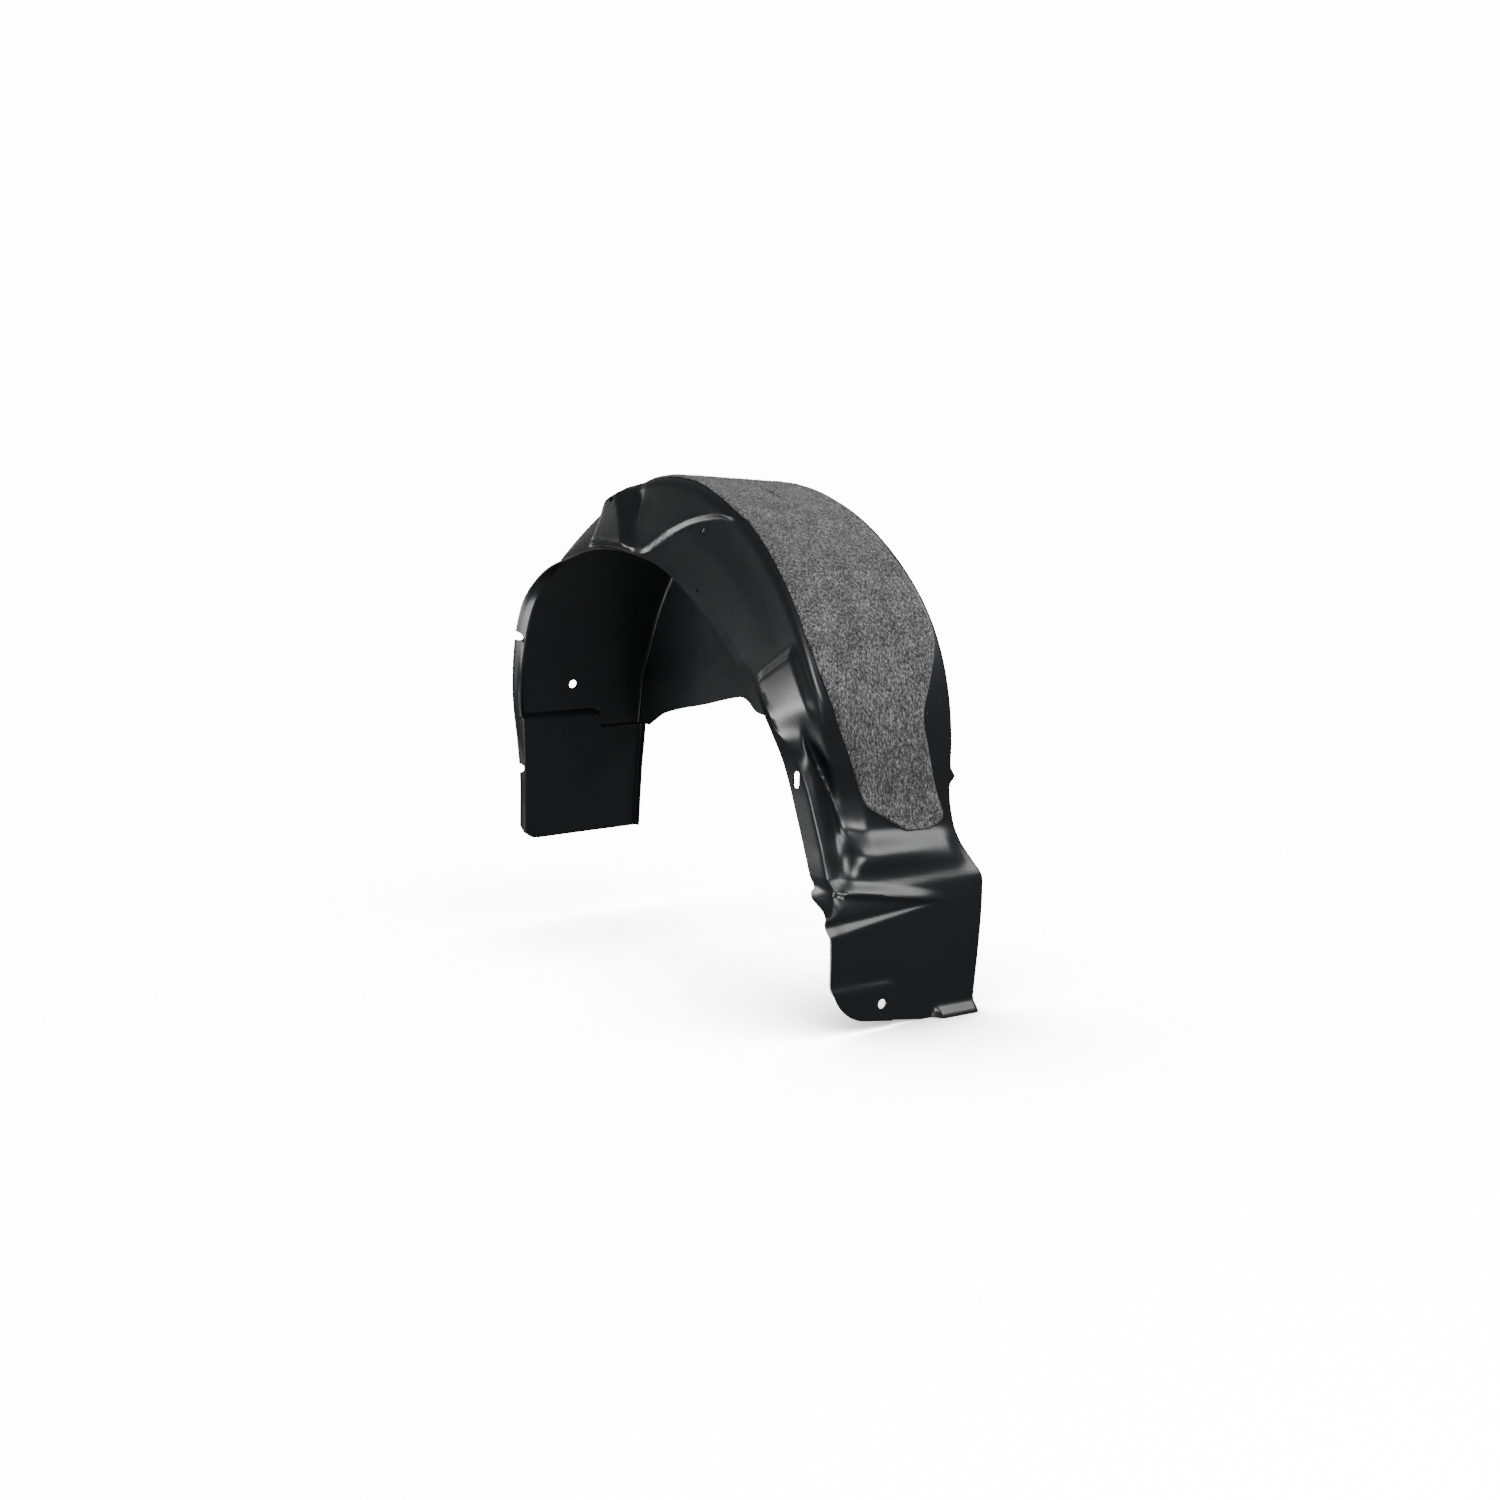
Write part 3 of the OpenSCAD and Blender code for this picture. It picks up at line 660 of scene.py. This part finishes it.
def pale_floor(finishes, brightness):
    """White studio floor glowing as brightly as the backdrop, with a painted shadow that dims it
    close to the liner
    """
    made, tree = new_material("pale_floor")
    # Painted shadow: ambient occlusion darkens the floor's glow close to the liner in place of a
    # cast contact shadow
    near = add(tree, "ShaderNodeAmbientOcclusion", {"Distance": 0.5}).outputs["AO"]
    painted_shadow = add(tree, "ShaderNodeMath", {0: near, 1: 4.0}, operation="POWER").outputs[0]
    glow = add(tree, "ShaderNodeMath", {0: painted_shadow, 1: brightness}, operation="MULTIPLY").outputs[0]
    shader = add(tree, "ShaderNodeBsdfPrincipled", {
        "Base Color": colour(finishes.floor), "Roughness": 0.9, "Specular IOR Level": 0.0,
        "Emission Strength": glow, "Emission Color": colour("#ffffff")})
    add(tree, "ShaderNodeOutputMaterial", {"Surface": shader.outputs[0]})
    return made


# Pieces

def make_shell(sizes, finishes):
    """The moulded liner, in place of its plain solid"""
    outer = sheet_grid(sizes)
    inner = outer - normals(outer) * sizes.wall * 1000
    centre = arch_centre()
    piece = closed_sheet("moulded_liner", outer, inner, centre)
    cut_openings(piece, sizes, centre)
    shade(piece, 40)
    piece.data.materials.clear()
    piece.data.materials.append(moulded_polyethylene(finishes))
    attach(piece, "root")
    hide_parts("liner_shell")
    return piece


def felt_grid(sizes, columns=64):
    """Points of the sheet's outer face under the felt"""
    start, closer, end = FELT_RIGHT[0][0], 88, FELT_RIGHT[-1][0]
    t = np.concatenate([np.linspace(start, closer, 210, endpoint=False),
                        np.linspace(closer, end, 34)])
    flat = flat_sections(t)
    left = guide(SHOULDER, t)[:, 0] + FELT_IN + guide(FELT_TRIM, t)[:, 0]
    right = guide(FELT_RIGHT, t)[:, 0]
    share = np.linspace(0, 1, columns + 1)
    y = left[:, None] + (right - left)[:, None] * share
    h = np.stack([np.interp(y[i], flat[i, :, 0], flat[i, :, 1]) for i in range(len(t))])
    return on_sheet(sizes, np.repeat(t[:, None], columns + 1, 1), y, h)


def make_felt(sizes, felt, finishes):
    """The felt pad on the liner, with a soft cut edge"""
    under = felt_grid(sizes)
    out = normals(under)
    n, m = under.shape[:2]
    i, j = np.meshgrid(np.arange(n), np.arange(m), indexing="ij")
    edge = np.minimum(np.minimum(i, n - 1 - i), np.minimum(j, m - 1 - j))
    soft = np.array([0.45, 0.85, 1.0])[np.minimum(edge, 2)]
    rng = np.random.default_rng(7)
    lumps = rng.normal(0, FELT_LUMPS, (n, m)) * (edge > 1)
    low = under + out * felt.glue * 1000
    high = under + out * ((felt.glue + felt.thickness * soft) * 1000 + lumps)[..., None]
    piece = closed_sheet("felt_cloth", high, low, arch_centre())
    cut_slit(piece, sizes, felt.slit, arch_centre())
    shade(piece, 50)
    piece.data.materials.clear()
    piece.data.materials.append(needled_felt(finishes))
    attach(piece, "root")
    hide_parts("felt_pad")
    return piece


def fibre_tree(felt, material):
    """Geometry nodes that scatter short bent fibres over the felt"""
    tree = bpy.data.node_groups.new("felt_fibres", "GeometryNodeTree")
    face = tree.interface
    face.new_socket("Geometry", in_out="INPUT", socket_type="NodeSocketGeometry")
    for name, value in (("Density", felt.fibre_density), ("Length", felt.fibre_length),
                        ("Width", felt.fibre_width)):
        face.new_socket(name, in_out="INPUT", socket_type="NodeSocketFloat").default_value = value
    face.new_socket("Geometry", in_out="OUTPUT", socket_type="NodeSocketGeometry")
    given = add(tree, "NodeGroupInput").outputs
    points = add(tree, "GeometryNodeDistributePointsOnFaces", {
        "Mesh": given["Geometry"], "Density": given["Density"], "Seed": 11})

    line = add(tree, "GeometryNodeCurveQuadraticBezier", {
        "Resolution": 3, "Start": (-0.5, 0.0, 0.0), "Middle": (0.0, 0.22, 0.34),
        "End": (0.5, 0.0, 0.02)})
    ring = add(tree, "GeometryNodeCurvePrimitiveCircle", {"Resolution": 3})
    sized = []
    for shape, size in ((line, "Length"), (ring, "Width")):
        triple = add(tree, "ShaderNodeCombineXYZ", {axis: given[size] for axis in range(3)})
        sized.append(add(tree, "GeometryNodeTransform", {
            "Geometry": shape.outputs[0], "Scale": triple.outputs[0]}).outputs[0])
    tube = add(tree, "GeometryNodeCurveToMesh", {
        "Curve": sized[0], "Profile Curve": sized[1], "Fill Caps": True})
    spin = add(tree, "FunctionNodeRandomValue", {
        "Max": (0.35, 0.35, 6.283), "Min": (-0.35, -0.35, 0.0), "Seed": 3},
        data_type="FLOAT_VECTOR")
    bend = add(tree, "FunctionNodeEulerToRotation", {0: spin.outputs[0]})
    turn = add(tree, "FunctionNodeRotateRotation", {
        0: points.outputs["Rotation"], 1: bend.outputs[0]}, rotation_space="LOCAL")
    size = add(tree, "FunctionNodeRandomValue", {2: 0.6, 3: 1.5, "Seed": 5}, data_type="FLOAT")
    placed = add(tree, "GeometryNodeInstanceOnPoints", {
        "Points": points.outputs["Points"], "Instance": tube.outputs[0],
        "Rotation": turn.outputs[0], "Scale": size.outputs[1]})
    real = add(tree, "GeometryNodeRealizeInstances", {0: placed.outputs[0]})
    painted = add(tree, "GeometryNodeSetMaterial", {
        "Geometry": real.outputs[0], "Material": material})
    add(tree, "NodeGroupOutput", {0: painted.outputs[0]})
    return tree


def make_fibres(sizes, felt, finishes):
    """Loose fibres over the felt's face"""
    under = felt_grid(sizes, columns=40)[1:-1, 1:-1]
    lifted = under + normals(under) * (felt.glue + felt.thickness) * 1000
    n, m = lifted.shape[:2]
    mesh = bpy.data.meshes.new("felt_fibres")
    index = np.arange(n * m).reshape(n, m)
    faces = np.stack([index[:-1, :-1], index[1:, :-1], index[1:, 1:], index[:-1, 1:]], -1)
    points = (lifted.reshape(-1, 3) + arch_centre()) / 1000
    mesh.from_pydata(points.tolist(), [], faces.reshape(-1, 4).tolist())
    piece = link("felt_fibres", mesh)
    scatter = piece.modifiers.new("fibres", "NODES")
    scatter.node_group = fibre_tree(felt, felt_fibre(finishes))
    bake(piece)
    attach(piece, "root")
    return piece


def make_stage(stage, finishes):
    """Camera, pale floor and soft studio light"""
    scene = bpy.context.scene
    centre = arch_centre() / 1000
    target = Vector((0.07 + centre[0], centre[1], 0.02 + centre[2]))
    a, e = stage.azimuth, stage.elevation
    away = Vector((math.sin(a) * math.cos(e), -math.cos(a) * math.cos(e), math.sin(e)))
    data = bpy.data.cameras.new("camera")
    data.lens = stage.lens
    data.sensor_width = 36
    camera = bpy.data.objects.new("camera", data)
    scene.collection.objects.link(camera)
    camera.location = target + away * stage.distance
    camera.rotation_euler = (-away).to_track_quat("-Z", "Y").to_euler()
    scene.camera = camera

    mesh = bpy.data.meshes.new("floor")
    edge = 40.0
    corners = [(-edge, -edge, 0), (edge, -edge, 0), (edge, edge, 0), (-edge, edge, 0)]
    mesh.from_pydata(corners, [], [(0, 1, 2, 3)])
    floor = link("floor", mesh)
    floor.data.materials.append(pale_floor(finishes, stage.backdrop))
    floor.visible_glossy = False
    floor.visible_diffuse = False
    floor.visible_shadow = False

    world = bpy.data.worlds.new("studio")
    world.use_nodes = True
    scene.world = world
    tree = world.node_tree
    tree.nodes.clear()
    room = add(tree, "ShaderNodeBackground", {0: colour("#ffffff"), 1: stage.room_light})
    white = add(tree, "ShaderNodeBackground", {0: colour("#ffffff"), 1: stage.backdrop})
    seen = add(tree, "ShaderNodeLightPath").outputs["Is Camera Ray"]
    both = add(tree, "ShaderNodeMixShader", {0: seen, 1: room.outputs[0], 2: white.outputs[0]})
    add(tree, "ShaderNodeOutputWorld", {0: both.outputs[0]})

    def soft_box(name, where, aim, size, power):
        lamp = bpy.data.lights.new(name, "AREA")
        lamp.shape = "RECTANGLE"
        lamp.size, lamp.size_y = size
        lamp.energy = power
        made = bpy.data.objects.new(name, lamp)
        scene.collection.objects.link(made)
        made.visible_camera = False
        made.location = where
        made.rotation_euler = (Vector(aim) - Vector(where)).to_track_quat("-Z", "Y").to_euler()

    soft_box("top_box", (1.0, 1.2, 2.3), (0.1, 0.0, 0.3), (1.4, 1.4), stage.top_light)
    soft_box("side_box", (-1.0, -1.9, -0.5), (0.28, -0.1, 0.4), (1.2, 0.9), stage.side_light)
    soft_box("end_box", (-3.0, -0.45, 0.7), (0.2, -0.1, 0.3), (1.0, 1.0), stage.end_light)
    soft_box("lip_box", (2.2, -2.4, -0.1), (0.3, -0.1, 0.3), (1.2, 0.9), stage.lip_light)
    soft_box("front_box", (2.4, -0.9, 1.5), (0.3, 0.0, 0.3), (1.2, 1.2), stage.front_light)


# Settings

class LinerSizes(bpy.types.PropertyGroup):
    """Sizes of the moulded sheet"""
    wall: bpy.props.FloatProperty(
        name="Wall", description="Thickness of the sheet", default=0.0025, unit="LENGTH")
    boss_out: bpy.props.FloatProperty(
        name="Boss", description="How far the buttress at the crown stands out",
        default=0.0164, unit="LENGTH")
    dome_out: bpy.props.FloatProperty(
        name="Dome", description="How far the dome beside it stands out",
        default=0.006, unit="LENGTH")
    step_out: bpy.props.FloatProperty(
        name="Step", description="How far the step above the near leg stands out",
        default=0.009, unit="LENGTH")
    wedge_depth: bpy.props.FloatProperty(
        name="Wedge", description="Depth of the recess across the foot's top",
        default=0.011, unit="LENGTH")
    rim_height: bpy.props.FloatProperty(
        name="Rim", description="Height of the rim above the recess", default=0.005, unit="LENGTH")
    pad_height: bpy.props.FloatProperty(
        name="Pad", description="How far the foot's fixing pad stands out",
        default=0.005, unit="LENGTH")
    swell: bpy.props.FloatProperty(
        name="Swell", description="How far the flare above the foot is rounded out",
        default=0.009, unit="LENGTH")
    bank: bpy.props.FloatProperty(
        name="Bank", description="How far the panel falls beside the channel",
        default=0.01, unit="LENGTH")
    tab_out: bpy.props.FloatProperty(
        name="Tab", description="How far the tab under the foot reaches out",
        default=0.014, unit="LENGTH")
    ledge_height: bpy.props.FloatProperty(
        name="Ledge", description="Height of the ledge across the far leg",
        default=0.007, unit="LENGTH")
    dent_depth: bpy.props.FloatProperty(
        name="Dent", description="Depth of the dent above the ledge", default=0.004, unit="LENGTH")


class FeltSizes(bpy.types.PropertyGroup):
    """Sizes of the felt and its fibres"""
    thickness: bpy.props.FloatProperty(
        name="Thickness", description="Thickness of the felt", default=0.0035, unit="LENGTH")
    glue: bpy.props.FloatProperty(
        name="Glue", description="Thickness of the glue under it", default=0.0003, unit="LENGTH")
    slit: bpy.props.FloatProperty(
        name="Slit", description="Width of the slit beside the crown",
        default=0.0032, unit="LENGTH")
    fibre_density: bpy.props.FloatProperty(
        name="Fibres", description="Loose fibres on a square metre", default=60000)
    fibre_length: bpy.props.FloatProperty(
        name="Fibre length", description="Length of a loose fibre", default=0.0035, unit="LENGTH")
    fibre_width: bpy.props.FloatProperty(
        name="Fibre width", description="Half the width of a loose fibre",
        default=0.00012, unit="LENGTH")


class Finishes(bpy.types.PropertyGroup):
    """Colours and gloss"""
    plastic: bpy.props.StringProperty(
        name="Plastic", description="Colour of the sheet", default="#161719")
    dust: bpy.props.StringProperty(
        name="Dust", description="Colour of specks of dust", default="#4a4a4a")
    gloss_low: bpy.props.FloatProperty(
        name="Smoothest", description="Roughness where the skin is smoothest",
        default=0.28, subtype="FACTOR")
    gloss_high: bpy.props.FloatProperty(
        name="Roughest", description="Roughness where the skin is dull",
        default=0.36, subtype="FACTOR")
    felt_dark: bpy.props.StringProperty(
        name="Dark fibres", description="Darkest felt", default="#1a1a1a")
    felt_mid: bpy.props.StringProperty(
        name="Felt", description="Usual colour of the felt", default="#4c4c4c")
    felt_light: bpy.props.StringProperty(
        name="Light fibres", description="Lightest felt", default="#8c8c8c")
    floor: bpy.props.StringProperty(
        name="Floor", description="Colour of the floor", default="#f2f2f2")


class StageSettings(bpy.types.PropertyGroup):
    """Camera and lights"""
    azimuth: bpy.props.FloatProperty(
        name="Azimuth", description="Camera's direction round the liner",
        default=math.radians(55), subtype="ANGLE")
    elevation: bpy.props.FloatProperty(
        name="Elevation", description="Camera's height as an angle",
        default=math.radians(8), subtype="ANGLE")
    distance: bpy.props.FloatProperty(
        name="Distance", description="From the camera to the liner", default=3.0, unit="LENGTH")
    lens: bpy.props.FloatProperty(
        name="Lens", description="Focal length in millimetres", default=54.0)
    room_light: bpy.props.FloatProperty(
        name="Room light", description="Strength of the even light", default=0.16)
    backdrop: bpy.props.FloatProperty(
        name="Backdrop", description="Brightness of the white behind", default=14.0)
    top_light: bpy.props.FloatProperty(
        name="Top light", description="Power of the soft box above", default=50.0, unit="POWER")
    side_light: bpy.props.FloatProperty(
        name="Side light", description="Power of the low soft box beside the lip",
        default=50.0, unit="POWER")
    end_light: bpy.props.FloatProperty(
        name="End light", description="Power of the soft box beyond the far leg",
        default=8.0, unit="POWER")
    lip_light: bpy.props.FloatProperty(
        name="Lip light", description="Power of the soft box beside the near leg",
        default=15.0, unit="POWER")
    front_light: bpy.props.FloatProperty(
        name="Front light", description="Power of the soft box before the foot",
        default=62.0, unit="POWER")


# Operators and panel

class LINER_OT_shell(bpy.types.Operator):
    """Makes the moulded liner"""
    bl_idname = "liner.shell"
    bl_label = "Moulded Liner"

    def execute(self, context):
        make_shell(context.scene.liner_sizes, context.scene.liner_finishes)
        return {"FINISHED"}


class LINER_OT_felt(bpy.types.Operator):
    """Makes the felt pad"""
    bl_idname = "liner.felt"
    bl_label = "Felt Pad"

    def execute(self, context):
        scene = context.scene
        make_felt(scene.liner_sizes, scene.liner_felt, scene.liner_finishes)
        return {"FINISHED"}


class LINER_OT_fibres(bpy.types.Operator):
    """Makes the loose fibres on the felt"""
    bl_idname = "liner.fibres"
    bl_label = "Felt Fibres"

    def execute(self, context):
        scene = context.scene
        make_fibres(scene.liner_sizes, scene.liner_felt, scene.liner_finishes)
        return {"FINISHED"}


class LINER_OT_stage(bpy.types.Operator):
    """Makes the camera, the floor and the lights"""
    bl_idname = "liner.stage"
    bl_label = "Stage"

    def execute(self, context):
        make_stage(context.scene.liner_stage, context.scene.liner_finishes)
        return {"FINISHED"}


class LINER_PT_pieces(bpy.types.Panel):
    """Lists the pieces in the sidebar"""
    bl_idname = "LINER_PT_pieces"
    bl_label = "Arch Liner"
    bl_space_type = "VIEW_3D"
    bl_region_type = "UI"
    bl_category = "Arch Liner"

    def draw(self, context):
        for name, group in GROUPS.items():
            box = self.layout.box()
            for size in group.__annotations__:
                box.prop(getattr(context.scene, name), size)
        for operator in OPERATORS:
            self.layout.operator(operator.bl_idname)


GROUPS = {"liner_sizes": LinerSizes, "liner_felt": FeltSizes, "liner_finishes": Finishes,
          "liner_stage": StageSettings}
OPERATORS = (LINER_OT_shell, LINER_OT_felt, LINER_OT_fibres, LINER_OT_stage)


def register():
    for item in (*GROUPS.values(), *OPERATORS, LINER_PT_pieces):
        bpy.utils.register_class(item)
    for name, group in GROUPS.items():
        setattr(bpy.types.Scene, name, bpy.props.PointerProperty(type=group))


def unregister():
    for name in GROUPS:
        delattr(bpy.types.Scene, name)
    for item in (LINER_PT_pieces, *OPERATORS[::-1], *GROUPS.values()):
        bpy.utils.unregister_class(item)


def main():
    register()
    bpy.ops.liner.stage()
    bpy.ops.liner.shell()
    bpy.ops.liner.felt()
    bpy.ops.liner.fibres()


if __name__ == "__main__":
    main()
